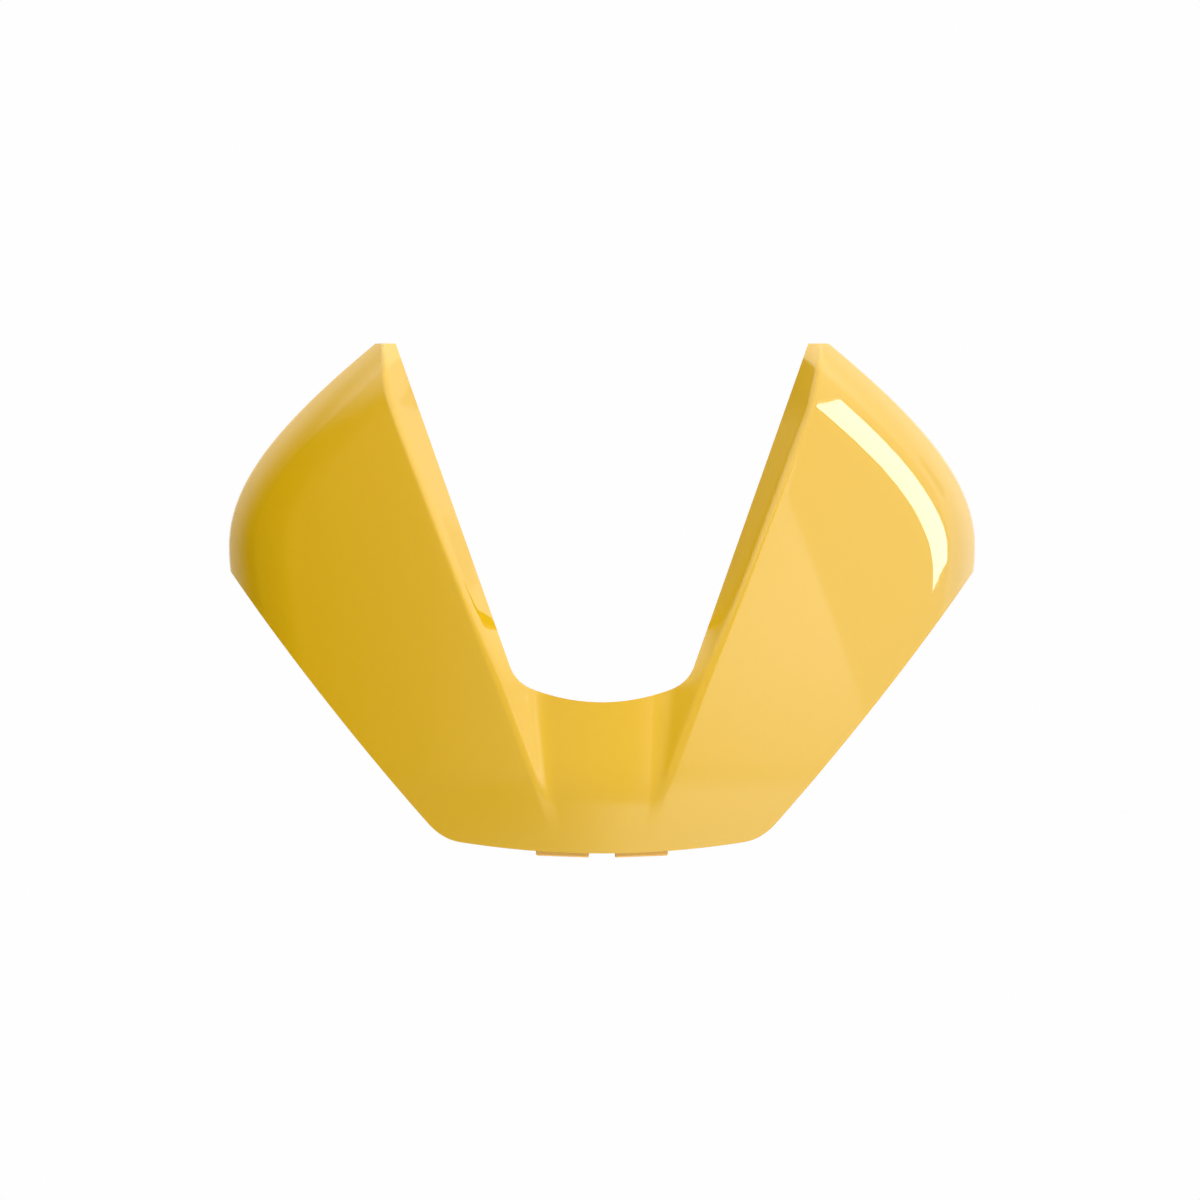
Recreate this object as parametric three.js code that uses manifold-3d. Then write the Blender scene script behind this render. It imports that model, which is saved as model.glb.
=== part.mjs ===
import * as THREE from 'three';
import { mergeVertices } from 'three/addons/utils/BufferGeometryUtils.js';
import Module from 'manifold-3d';

const wasm = await Module();
wasm.setup();

// Lengths are in millimetres. While the pieces are made, x is to the right, z is up from the middle of
// the cover's lower edge, and y goes back from the cover's foremost line.

// Outline of the cover seen from the front, right half, as [x, z]
const TIP = [45.6, 102.2];
const RIM_HANDLE = [64.5, 86.7];
const RIM_FALL = [75.15, 74.6];
const SHOULDER = [75.15, 61.6];
const CORNER_Z = 56.4;
const TRIM_END = [35.0, 6.2];
const FOOT = [28.4, 2.2];
const NOTCH_TIP = [41.5, 102.2];
const NOTCH_HEEL = [18.4, 37.4];
const NOTCH_FLOOR = [13.4, 32.6];
const NOTCH_MIDDLE_Z = 30.2;
const NOTCH_HANDLE = [17.17, 33.95];
const RIDGE_END_Z = 13;
const RIDGE_FOOT = [11.3, 10];
const RIDGE_MIDDLE_Z = 8.6;
const TRIM_HANDLE = [32.06, 2.77];

// Heights on the ridge and on the notch edge that lie level with the corner, and the notch floor's
// half width where the trim ends and at the foot corner
const RIDGE_AT_CORNER_Z = 61;
const NOTCH_AT_CORNER_Z = 62.7;
const FLOOR_AT_TRIM_X = 12.2;
const FLOOR_AT_FOOT_X = 11.4;

// Depth of the cover
const WALL = 1.8;
const TIP_WALL = 0.6;
const TURN_START = 12.5;
const TURN_LENGTH = 7;
const TURN_SLOPE = 0.36;
const RIM_EDGE = 5.4;
const RIM_EDGE_SLOPE = 0.4;
const RIM_CURVE = 0.12;
const RIM_BACK_Y = 45;
const RIM_LINE_STEPS = 60;
const ROLL_REACH = 13.2;

// Inner frame
const FRAME_NEAR = 2.4;
const FRAME_FAR = 4.2;
const PLATE_Y = [10.2, 12.2];
const CHANNEL_BACK_Y = 18.5;
const KEEPER_Y = [18.8, 20.6];
const SEAT_Y = 22.2;
const WING_SEAT_Y = 45.6;
const WING_SEAT = [60, 64];

// Catches
const CATCH_X = [2.6, 13.2];
const CATCH_HEAD_X = [1.2, 14.6];
const CATCH_Y = [12.5, 18.5];
const CATCH_AXIS = [7.9, 15.5];
const SPRING_Z = [8.7, 24.95];

// Screws, as [x, z, boss length] for the cover's bosses and [x, z] for the keeper
const BOSSES = [[52, 80, 10], [46, 48, 10], [30, 15, 9]];
const KEEPER_SCREWS = [[19.8, 9], [19.8, 22]];

const object = new THREE.Group();
object.name = 'lip_grip_cover';
const shift = new THREE.Group();
shift.name = 'from_lower_seat';
shift.position.set(0, -SEAT_Y, -18);
object.add(shift);

function addPiece(name, geometry, color, roughness, metalness) {
  const material = new THREE.MeshStandardMaterial({ color, roughness, metalness });
  const mesh = new THREE.Mesh(geometry, material);
  mesh.name = name;
  shift.add(mesh);
  return mesh;
}

// Solid shaping

function toSolid(geometry) {
  const bare = geometry.clone();
  bare.deleteAttribute('normal');
  bare.deleteAttribute('uv');
  const merged = mergeVertices(bare, 1e-5);
  return new wasm.Manifold(new wasm.Mesh({
    numProp: 3,
    vertProperties: new Float32Array(merged.attributes.position.array),
    triVerts: new Uint32Array(merged.index.array),
  }));
}

function toGeometry(solid) {
  const mesh = solid.getMesh();
  const geometry = new THREE.BufferGeometry();
  geometry.setAttribute('position', new THREE.BufferAttribute(new Float32Array(mesh.vertProperties), 3));
  geometry.setIndex(new THREE.BufferAttribute(new Uint32Array(mesh.triVerts), 1));
  geometry.computeVertexNormals();
  return geometry;
}

function box(x, y, z) {
  const shape = new THREE.BoxGeometry(x[1] - x[0], y[1] - y[0], z[1] - z[0]);
  shape.translate((x[0] + x[1]) / 2, (y[0] + y[1]) / 2, (z[0] + z[1]) / 2);
  return toSolid(shape);
}

function post(x, z, radius, y, sides = 14) {
  const shape = new THREE.CylinderGeometry(radius, radius, y[1] - y[0], sides);
  shape.translate(x, (y[0] + y[1]) / 2, z);
  return toSolid(shape);
}

function plateFromFront(points, y) {
  const shape = new THREE.Shape(points.map(([x, z]) => new THREE.Vector2(x, z)));
  const plate = new THREE.ExtrudeGeometry(shape, { depth: y[1] - y[0], bevelEnabled: false });
  plate.rotateX(Math.PI / 2);
  plate.translate(0, y[1], 0);
  return toSolid(plate);
}

function profileFromSide(points, x) {
  const shape = new THREE.Shape(points.map(([y, z]) => new THREE.Vector2(y, z)));
  const profile = new THREE.ExtrudeGeometry(shape, { depth: x[1] - x[0], bevelEnabled: false });
  profile.applyMatrix4(new THREE.Matrix4().set(0, 0, 1, x[0], 1, 0, 0, 0, 0, 1, 0, 0, 0, 0, 0, 1));
  return toSolid(profile);
}

function unite(solids) {
  return solids.reduce((whole, solid) => whole.add(solid));
}

// Outline curves

function mix(a, b, t) {
  return a + (b - a) * t;
}

function between(p, q, t) {
  return [mix(p[0], q[0], t), mix(p[1], q[1], t)];
}

function bend(p, middle, q, t) {
  return between(between(p, middle, t), between(middle, q, t), t);
}

function ease(t) {
  const s = Math.min(1, Math.max(0, t));
  return s * s * (3 - 2 * s);
}

function shoulderX(z) {
  const below = SHOULDER[1] - Math.max(z, CORNER_Z);
  return SHOULDER[0] - below ** 2 / 80 - 0.13 * Math.max(0, CORNER_Z - z);
}

function rimPoint(s) {
  if (s > 0.9) {
    const z = mix(SHOULDER[1], CORNER_Z, (s - 0.9) / 0.1);
    return [shoulderX(z), z];
  }
  const t = s / 0.9;
  const middle = bend(TIP, RIM_HANDLE, RIM_FALL, t);
  return between(middle, bend(RIM_HANDLE, RIM_FALL, SHOULDER, t), t);
}

const corner = rimPoint(1);
const trimMiddle = [mix(corner[0], TRIM_END[0], 0.5) + 1.3, mix(corner[1], TRIM_END[1], 0.5) - 1.1];

function floorZ(x) {
  return NOTCH_MIDDLE_Z + 2.4 * (x / NOTCH_FLOOR[0]) ** 2;
}

function ridgeX(z) {
  return 7.54 + 0.3834 * z - 0.0089 * Math.max(0, z - 85.2) ** 2;
}

function notchEdge(z) {
  return between(NOTCH_HEEL, NOTCH_TIP, (z - NOTCH_HEEL[1]) / (NOTCH_TIP[1] - NOTCH_HEEL[1]));
}

// The front face: wings swept back, leaning back towards the tips, a rounded lower edge, and a trough
// between the two ridges that runs out below the notch.

function smoothRamp(a, k) {
  if (a > k) return a;
  return a < -k ? 0 : (a + k) ** 2 / (4 * k);
}

function ridgeSoftness(z) {
  return 1.2 - 0.8 * ease((z - 92) / 10);
}

function faceY(x, z) {
  const sweep = 0.27 * (Math.hypot(x, 12) - 12) + 0.002 * x * x;
  const lean = Math.max(0, z - 12) ** 2 / 520;
  const underRoll = Math.max(0, 18 - z) ** 2 / 52;
  const troughWidth = smoothRamp(0.3034 * z - 2.41, 1.8);
  const slope = 0.76 + 1.14 * ease((z - 32) / 26);
  const k = ridgeSoftness(z);
  const inside = ridgeX(z) - Math.abs(x);
  const floorSoftness = k + Math.min(1, troughWidth / 6);
  const trough = smoothRamp(inside, k) - smoothRamp(inside - troughWidth, floorSoftness);
  return sweep + lean + underRoll + slope * trough;
}

// Towards the rim the face turns away, and a soft edge leads on to the curved rim band. Both follow the
// distance in from the outer rim, whose line is carried on past the tip and the corner.

const tipRise = 10 * (TIP[1] - RIM_HANDLE[1]) / (RIM_HANDLE[0] - TIP[0]);
const rimLine = [[TIP[0] - 10, TIP[1] + tipRise]];
for (let k = 0; k <= RIM_LINE_STEPS; k += 1) rimLine.push(rimPoint(k / RIM_LINE_STEPS));
rimLine.push([shoulderX(0), 0]);

function rimInset(x, z) {
  let nearest = Infinity;
  for (let k = 1; k < rimLine.length; k += 1) {
    const [ax, az] = rimLine[k - 1];
    const [dx, dz] = [rimLine[k][0] - ax, rimLine[k][1] - az];
    const along = ((x - ax) * dx + (z - az) * dz) / (dx * dx + dz * dz);
    const share = Math.min(1, Math.max(0, along));
    nearest = Math.min(nearest, Math.hypot(x - ax - dx * share, z - az - dz * share));
  }
  return nearest;
}

function rollDepth(inset) {
  const turned = Math.max(0, TURN_START - inset);
  const past = Math.max(0, turned - TURN_LENGTH);
  const turn = (TURN_SLOPE / (2 * TURN_LENGTH)) * (turned ** 2 - past ** 2);
  const band = Math.max(0, RIM_EDGE - inset);
  return turn + RIM_EDGE_SLOPE * band + RIM_CURVE * band ** 2;
}

function surfaceY(x, z) {
  return faceY(x, z) + rollDepth(rimInset(x, z));
}

// Stations run from a wing tip (0) past the corner (1), along the cut lower side (2), round the foot
// corner (3) to the middle (4). Each gives the notch edge, the ridge and the outer edge.

function station(t) {
  if (t <= 1) {
    const outer = rimPoint(t);
    const ridgeZ = mix(TIP[1], RIDGE_AT_CORNER_Z, t);
    const notch = notchEdge(mix(TIP[1], NOTCH_AT_CORNER_Z, t));
    return { notch, ridge: [ridgeX(ridgeZ), ridgeZ], outer };
  }
  if (t <= 2) {
    const s = t - 1;
    const ridgeZ = mix(RIDGE_AT_CORNER_Z, RIDGE_END_Z, s);
    const outer = bend(corner, trimMiddle, TRIM_END, s);
    let notch = notchEdge(mix(NOTCH_AT_CORNER_Z, NOTCH_HEEL[1], s / 0.5));
    if (s > 0.5) notch = bend(NOTCH_HEEL, NOTCH_HANDLE, NOTCH_FLOOR, Math.min(1, (s - 0.5) / 0.35));
    if (s > 0.85) {
      const x = mix(NOTCH_FLOOR[0], FLOOR_AT_TRIM_X, (s - 0.85) / 0.15);
      notch = [x, floorZ(x)];
    }
    return { notch, ridge: [ridgeX(ridgeZ), ridgeZ], outer };
  }
  if (t <= 3) {
    const s = t - 2;
    const x = mix(FLOOR_AT_TRIM_X, FLOOR_AT_FOOT_X, s);
    const ridge = between([ridgeX(RIDGE_END_Z), RIDGE_END_Z], RIDGE_FOOT, s);
    return { notch: [x, floorZ(x)], ridge, outer: bend(TRIM_END, TRIM_HANDLE, FOOT, s) };
  }
  const s = t - 3;
  const notchX = mix(FLOOR_AT_FOOT_X, 0, s);
  const outerX = mix(FOOT[0], 0, s);
  const outer = [outerX, FOOT[1] * (outerX / FOOT[0]) ** 2];
  return { notch: [notchX, floorZ(notchX)], ridge: between(RIDGE_FOOT, [0, RIDGE_MIDDLE_Z], s), outer };
}

const STATIONS = [
  0, 0.05, 0.11, 0.19, 0.29, 0.4, 0.52, 0.64, 0.76, 0.88, 0.96, 1,
  1.04, 1.1, 1.2, 1.31, 1.42, 1.5, 1.58, 1.67, 1.77, 1.86, 1.94, 2,
  2.35, 2.7, 3, 3.25, 3.5, 3.75, 4,
];
const NOTCH_ROWS = 3;
const RIDGE_ROW = NOTCH_ROWS + 2;
const FACE_ROWS = 5;
const ROLL_ROW = RIDGE_ROW + FACE_ROWS;
const ROLL_SHARES = [0.25, 0.45, 0.59, 0.8, 1];
const ROLL_ROWS = ROLL_SHARES.length;
const EDGE_ROW = ROLL_ROW + ROLL_ROWS;
const SKIRT_ROWS = 2;

function sectionPoints(t) {
  const { notch, ridge, outer } = station(t);
  const points = [];
  const run = Math.hypot(outer[0] - ridge[0], outer[1] - ridge[1]);
  const away = [(outer[0] - ridge[0]) / run, (outer[1] - ridge[1]) / run];
  const soft = Math.min(ridgeSoftness(ridge[1]), 0.3 * run);
  const turned = (Math.PI / 2) * Math.max(0, t - 3);
  const inner = [ridge[0] - soft * Math.cos(turned), ridge[1] + soft * Math.sin(turned)];
  const shoulder = [ridge[0] + away[0] * soft, ridge[1] + away[1] * soft];
  const roll = Math.min(ROLL_REACH * mix(1.3, 1, Math.min(1, t)), (t < 1 ? 0.85 : 0.5) * (run - soft));
  const rollStart = [outer[0] - away[0] * roll, outer[1] - away[1] * roll];
  for (let j = 0; j < NOTCH_ROWS; j += 1) points.push(between(notch, inner, j / NOTCH_ROWS));
  points.push(inner, ridge, shoulder);
  const first = Math.min(0.2, 3.5 / (run - soft - roll));
  for (let j = 1; j <= FACE_ROWS; j += 1) {
    points.push(between(shoulder, rollStart, mix(first, 1, (j - 1) / (FACE_ROWS - 1))));
  }
  ROLL_SHARES.forEach((share) => points.push(between(rollStart, outer, share)));
  const result = points.map(([x, z]) => [x, surfaceY(x, z), z]);
  if (t <= 1) {
    const [x, y, z] = result[EDGE_ROW];
    const depth = RIM_BACK_Y - y;
    for (let j = 1; j <= SKIRT_ROWS; j += 1) {
      const f = j / SKIRT_ROWS;
      const draft = 0.03 * depth * f;
      const drop = draft * Math.min(1, t / 0.05);
      result.push([x - away[0] * draft, mix(y, RIM_BACK_Y, f), z - away[1] * drop]);
    }
  }
  return result;
}

const sections = STATIONS.map(sectionPoints);
const mirrored = sections.map((row) => row.map(([x, y, z]) => [-x, y, z]));
const columns = [...mirrored, ...sections.slice(0, -1).reverse()];

// A sheet is part of the face's grid, between two rows and from one station to its mirror image.

function makeSheet(rows, skip) {
  const ids = new Map();
  const positions = [];
  const index = [];
  const id = (i, j) => {
    const key = i * 100 + j;
    if (!ids.has(key)) {
      ids.set(key, positions.length / 3);
      positions.push(...columns[i][j]);
    }
    return ids.get(key);
  };
  for (let i = skip; i < columns.length - 1 - skip; i += 1) {
    for (let j = rows[0]; j < rows[1]; j += 1) {
      if (columns[i][j + 1] && columns[i + 1][j + 1]) {
        const [a, b, c, d] = [id(i, j), id(i + 1, j), id(i + 1, j + 1), id(i, j + 1)];
        index.push(a, c, b, a, d, c);
      }
    }
  }
  const sheet = new THREE.BufferGeometry();
  sheet.setAttribute('position', new THREE.Float32BufferAttribute(positions, 3));
  sheet.setIndex(index);
  sheet.computeVertexNormals();
  return sheet;
}

function thicken(sheet, front, back) {
  const p = new THREE.Vector3();
  const n = new THREE.Vector3();
  const { position, normal } = sheet.attributes;
  const count = position.count;
  const place = (rule) => {
    const out = [];
    for (let v = 0; v < count; v += 1) {
      p.fromBufferAttribute(position, v);
      n.fromBufferAttribute(normal, v);
      out.push(...rule(p, n).toArray());
    }
    return out;
  };
  const source = Array.from(sheet.index.array);
  const index = [];
  const edges = new Map();
  for (let k = 0; k < source.length; k += 3) {
    const [a, b, c] = source.slice(k, k + 3);
    index.push(a, b, c, a + count, c + count, b + count);
    [[a, b], [b, c], [c, a]].forEach(([s, e]) => edges.set(`${s}_${e}`, [s, e]));
  }
  edges.forEach(([s, e]) => {
    if (!edges.has(`${e}_${s}`)) index.push(e, s, s + count, e, s + count, e + count);
  });
  const solid = new THREE.BufferGeometry();
  solid.setAttribute('position', new THREE.Float32BufferAttribute([...place(front), ...place(back)], 3));
  solid.setIndex(index);
  return toSolid(solid);
}

function wallAt(z) {
  return mix(WALL, TIP_WALL, ease((z - 90) / 12));
}

function inward(distance) {
  return (p, n) => p.clone().addScaledVector(n, -distance);
}

function spaceInFront(distance) {
  return thicken(makeSheet([0, EDGE_ROW], 0), (p) => p.clone().setY(-40), inward(distance));
}

// Cover: glossy moulded skin, the whole visible V, with six screw bosses on its back and a closed end
// at each wing tip.

function tipEnd(side) {
  const rim = sections[0].map(([x, y]) => new THREE.Vector2(side * x, y));
  const end = new THREE.ExtrudeGeometry(new THREE.Shape(rim), { depth: 1.6, bevelEnabled: false });
  end.translate(0, 0, TIP[1] - 1.6);
  return toSolid(end);
}

function coverBoss(x, z, length) {
  const end = faceY(x, z) + length;
  return post(x, z, 2.8, [end - length - 6, end]);
}

function coverSolid() {
  const skin = thicken(makeSheet([0, EDGE_ROW + SKIRT_ROWS], 0), inward(0),
    (p, n) => p.clone().addScaledVector(n, -wallAt(p.z)));
  const places = BOSSES.flatMap(([x, z, length]) => [[x, z, length], [-x, z, length]]);
  const bosses = unite(places.map(([x, z, length]) => coverBoss(x, z, length))).subtract(spaceInFront(0.9));
  const bores = unite(places.map(([x, z, length]) => {
    const end = faceY(x, z) + length;
    return post(x, z, 1.4, [end - length + 3.5, end + 1], 10);
  }));
  return unite([skin, tipEnd(1), tipEnd(-1), bosses]).subtract(bores);
}

addPiece('cover', toGeometry(coverSolid()), 0xf0b736, 0.16, 0);

// Carrier: satin inner frame that follows the back of the cover. It has a turret round each boss, the
// catch channels, a seat tower behind each wing and a fixed hook near each tip.

function turret(x, z, length) {
  return post(x, z, 5, [faceY(x, z) - 4, faceY(x, z) + length + 2.3], 18);
}

function seatTower(side) {
  const [x, z] = [side * WING_SEAT[0], WING_SEAT[1]];
  const front = faceY(x, z) - 6;
  const back = WING_SEAT_Y - 1.6;
  return unite([
    box([x - 7, x + 7], [back - 2.2, back], [z - 7, z + 7]),
    box([x - 0.9, x + 0.9], [front, back - 1], [z - 6, z + 6]),
    box([x - 6, x + 6], [front, back - 1], [z - 0.9, z + 0.9]),
  ]);
}

function fixedHook(side) {
  const hook = profileFromSide([[18, 86.6], [42, 86.6], [42, 91.6], [39.6, 90.4], [39.6, 88.8], [18, 88.8]],
    [46, 51]);
  return side > 0 ? hook : hook.mirror([1, 0, 0]);
}

function catchChannels() {
  const parts = [
    box([-24.2, 24.2], PLATE_Y, [4.2, 27]),
    box([-24.2, 24.2], [PLATE_Y[0], CHANNEL_BACK_Y], [25.2, 27]),
    box([-0.9, 0.9], [PLATE_Y[1] - 1, CHANNEL_BACK_Y], [3.4, 26]),
    box([-2.3, 2.3], [PLATE_Y[1] - 1, CHANNEL_BACK_Y], [3.4, 7.7]),
  ];
  [-1, 1].forEach((side) => {
    const span = (a, b) => (side > 0 ? [a, b] : [-b, -a]);
    parts.push(
      box(span(14.9, 16.7), [PLATE_Y[1] - 1, CHANNEL_BACK_Y], [3.4, 26]),
      box(span(13.5, 15.2), [PLATE_Y[1] - 1, CHANNEL_BACK_Y], [3.4, 7.7]),
      box(span(22.4, 24.2), [0, CHANNEL_BACK_Y], [4, 27]),
      box(span(9.6, 11.4), [2, PLATE_Y[0] + 1], [4, 8]),
    );
    KEEPER_SCREWS.forEach(([x, z]) => parts.push(post(side * x, z, 2.7, [PLATE_Y[1] - 1, CHANNEL_BACK_Y])));
  });
  return unite(parts);
}

function wingWindow(side) {
  const corners = [[40, 60], [46.5, 62], [49, 70], [43.5, 71.5]];
  const rounded = new THREE.Shape();
  rounded.moveTo((corners[0][0] + corners[3][0]) / 2, (corners[0][1] + corners[3][1]) / 2);
  corners.forEach(([x, z], k) => {
    const [nx, nz] = corners[(k + 1) % 4];
    rounded.quadraticCurveTo(x, z, (x + nx) / 2, (z + nz) / 2);
  });
  const points = rounded.getPoints(4).slice(0, -1).map((p) => [side * p.x, p.y]);
  return plateFromFront(side > 0 ? points : points.reverse(), [5, 60]);
}

function carrierSolid() {
  const band = thicken(makeSheet([RIDGE_ROW + 1, ROLL_ROW + 1], 4), inward(FRAME_NEAR), inward(FRAME_FAR));
  const places = BOSSES.flatMap(([x, z, length]) => [[x, z, length], [-x, z, length]]);
  const rough = unite([
    band, catchChannels(), seatTower(1), seatTower(-1), fixedHook(1), fixedHook(-1),
    ...places.map(([x, z, length]) => turret(x, z, length)),
  ]);
  const holes = places.flatMap(([x, z, length]) => {
    const floor = faceY(x, z) + length + 0.3;
    return [post(x, z, 3.2, [floor - 30, floor]), post(x, z, 1.5, [floor - 1, floor + 4], 10)];
  });
  KEEPER_SCREWS.forEach(([x, z]) => {
    holes.push(post(x, z, 1.1, [PLATE_Y[1] + 0.3, 30], 10), post(-x, z, 1.1, [PLATE_Y[1] + 0.3, 30], 10));
  });
  holes.push(wingWindow(1), wingWindow(-1));
  return rough.subtract(spaceInFront(FRAME_NEAR - 0.05)).subtract(unite(holes));
}

addPiece('carrier', toGeometry(carrierSolid()), 0x34363a, 0.55, 0);

// Catches: two sprung sliders. Each has a tab below the cover's lower edge, a shouldered head with the
// spring's bore, and a tongue with a hooked nose that takes hold behind the edge of the host panel.

function catchSolid() {
  const [left, right] = CATCH_X;
  const [headLeft, headRight] = CATCH_HEAD_X;
  const body = plateFromFront([
    [left, -0.9], [right, -0.5], [right, 7.8], [headRight, 7.8],
    [headRight, 14], [headLeft, 14], [headLeft, 7.8], [left, 7.8],
  ], CATCH_Y);
  const bore = new THREE.CylinderGeometry(2.1, 2.1, 8, 16);
  bore.rotateX(Math.PI / 2);
  bore.translate(CATCH_AXIS[0], CATCH_AXIS[1], 12.6);
  const tongue = profileFromSide([
    [CATCH_Y[1] - 1, 3.6], [24.6, 3.6], [24.6, 0], [25.4, 0], [28, 2.8], [28, 5.6], [CATCH_Y[1] - 1, 5.6],
  ], [4.1, 11.7]);
  return body.subtract(toSolid(bore)).add(tongue);
}

addPiece('right_catch', toGeometry(catchSolid()), 0xe2ad55, 0.42, 0);
addPiece('left_catch', toGeometry(catchSolid().mirror([1, 0, 0])), 0xe2ad55, 0.42, 0);

// Catch springs: steel compression coils, standing in the catch's bore and pressing on the top wall.

class Coil extends THREE.Curve {
  constructor(radius, turns, low, high) {
    super();
    Object.assign(this, { radius, turns, low, high });
  }

  getPoint(t, target = new THREE.Vector3()) {
    const angle = 2 * Math.PI * this.turns * t;
    return target.set(this.radius * Math.cos(angle), this.radius * Math.sin(angle), mix(this.low, this.high, t));
  }
}

function springSolid(side) {
  const wire = 0.25;
  const section = new THREE.Shape().absarc(0, 0, wire, 0, 2 * Math.PI);
  const path = new Coil(1.6, 8, SPRING_Z[0] + wire, SPRING_Z[1] - wire);
  const coil = new THREE.ExtrudeGeometry(section, {
    steps: 72, curveSegments: 2, bevelEnabled: false, extrudePath: path,
  });
  coil.translate(side * CATCH_AXIS[0], CATCH_AXIS[1], 0);
  return toSolid(coil);
}

addPiece('left_catch_spring', toGeometry(springSolid(-1)), 0xb9bcc0, 0.3, 1);
addPiece('right_catch_spring', toGeometry(springSolid(1)), 0xb9bcc0, 0.3, 1);

// Catch keeper: flat plate that closes the channels from behind, with a gap for each tongue.

function keeperSolid() {
  const outline = [
    [-23.6, 4.2], [-12.2, 4.2], [-12.2, 9], [-3.6, 9], [-3.6, 4.2], [3.6, 4.2], [3.6, 9], [12.2, 9],
    [12.2, 4.2], [23.6, 4.2], [23.6, 25.4], [22.2, 26.8], [-22.2, 26.8], [-23.6, 25.4],
  ];
  const holes = KEEPER_SCREWS.flatMap(([x, z]) => [x, -x].map((side) => post(side, z, 1.3, [15, 25], 14)));
  return plateFromFront(outline, KEEPER_Y).subtract(unite(holes));
}

addPiece('catch_keeper', toGeometry(keeperSolid()), 0x3c3e42, 0.5, 0);

// Screws: pan-head thread-forming screws, all driven from behind.

function screwSolid(x, z, seatY, shank, head, length) {
  const profile = [
    [0, -length], [shank * 0.6, -length], [shank, -length + 1], [shank, 0], [head, 0], [head, 0.7],
    [head * 0.72, 1.4], [0, 1.4],
  ].map(([r, y]) => new THREE.Vector2(r, y));
  const body = new THREE.LatheGeometry(profile, 12);
  body.translate(x, seatY + 0.05, z);
  const recess = unite([
    box([x - 1.1, x + 1.1], [seatY + 0.75, seatY + 3], [z - 0.3, z + 0.3]),
    box([x - 0.3, x + 0.3], [seatY + 0.75, seatY + 3], [z - 1.1, z + 1.1]),
  ]);
  return toSolid(body).subtract(recess);
}

BOSSES.forEach(([x, z, length], k) => {
  const seat = faceY(x, z) + length + 2.3;
  addPiece(`carrier_screw_${2 * k + 1}`, toGeometry(screwSolid(-x, z, seat, 1.2, 2.6, 7.5)), 0x9fa2a6, 0.35, 1);
  addPiece(`carrier_screw_${2 * k + 2}`, toGeometry(screwSolid(x, z, seat, 1.2, 2.6, 7.5)), 0x9fa2a6, 0.35, 1);
});
KEEPER_SCREWS.forEach(([x, z], k) => {
  const seat = KEEPER_Y[1];
  addPiece(`keeper_screw_${2 * k + 1}`, toGeometry(screwSolid(-x, z, seat, 0.9, 2.1, 7)), 0x9fa2a6, 0.35, 1);
  addPiece(`keeper_screw_${2 * k + 2}`, toGeometry(screwSolid(x, z, seat, 0.9, 2.1, 7)), 0x9fa2a6, 0.35, 1);
});

// Pads: rubber faces stuck to the keeper and to the two seat towers.

function padSolid(x, z, half, y, cut) {
  const [w, h] = half;
  return plateFromFront([
    [x - w + cut, z - h], [x + w - cut, z - h], [x + w, z - h + cut], [x + w, z + h - cut],
    [x + w - cut, z + h], [x - w + cut, z + h], [x - w, z + h - cut], [x - w, z - h + cut],
  ], y);
}

const wingPadY = [WING_SEAT_Y - 1.55, WING_SEAT_Y];
addPiece('lower_pad', toGeometry(padSolid(0, 18, [14, 6], [KEEPER_Y[1] + 0.05, SEAT_Y], 1.5)), 0x1c1d1f, 0.85, 0);
addPiece('left_wing_pad', toGeometry(padSolid(-WING_SEAT[0], WING_SEAT[1], [6, 6], wingPadY, 1.5)),
  0x1c1d1f, 0.85, 0);
addPiece('right_wing_pad', toGeometry(padSolid(WING_SEAT[0], WING_SEAT[1], [6, 6], wingPadY, 1.5)),
  0x1c1d1f, 0.85, 0);

export default object;
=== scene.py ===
import math

import bpy
import numpy as np
from mathutils import Matrix, Vector


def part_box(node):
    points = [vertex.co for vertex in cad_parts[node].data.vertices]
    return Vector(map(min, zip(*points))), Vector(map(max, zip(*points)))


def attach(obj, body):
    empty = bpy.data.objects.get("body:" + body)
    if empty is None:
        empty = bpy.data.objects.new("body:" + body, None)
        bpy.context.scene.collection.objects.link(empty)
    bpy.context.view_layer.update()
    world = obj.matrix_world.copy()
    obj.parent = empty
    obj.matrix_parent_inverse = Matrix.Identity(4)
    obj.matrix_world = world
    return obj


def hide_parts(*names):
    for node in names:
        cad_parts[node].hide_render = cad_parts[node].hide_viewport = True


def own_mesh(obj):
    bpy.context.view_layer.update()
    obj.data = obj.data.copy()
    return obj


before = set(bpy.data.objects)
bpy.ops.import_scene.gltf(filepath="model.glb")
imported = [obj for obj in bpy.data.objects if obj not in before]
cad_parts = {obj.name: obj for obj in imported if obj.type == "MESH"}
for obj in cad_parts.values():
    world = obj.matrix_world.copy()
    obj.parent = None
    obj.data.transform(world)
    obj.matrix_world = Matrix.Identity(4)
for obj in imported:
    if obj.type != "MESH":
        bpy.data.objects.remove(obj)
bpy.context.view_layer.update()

# The studio. A long lens looks at the cover's front from its own height, against plain white. The
# cover stands free of any floor, because the panel it clips onto holds it.

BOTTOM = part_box("cover")[0][2]
VIEW_DISTANCE = 4.0
VIEW_WIDTH = 0.2405
VIEW_HEIGHT = BOTTOM + 0.0506
VIEW_X = -0.0004
FILM_WIDTH = 36

camera_data = bpy.data.cameras.new("camera")
camera_data.sensor_width = FILM_WIDTH
camera_data.lens = FILM_WIDTH * VIEW_DISTANCE / VIEW_WIDTH
camera_data.clip_end = 50
camera = bpy.data.objects.new("camera", camera_data)
camera.location = (VIEW_X, -VIEW_DISTANCE, VIEW_HEIGHT)
camera.rotation_euler = (math.radians(90), 0, 0)
bpy.context.collection.objects.link(camera)
bpy.context.scene.camera = camera
bpy.context.scene.view_settings.view_transform = "Standard"

PART_CENTRE = Vector((0, 0.012, VIEW_HEIGHT))


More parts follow.
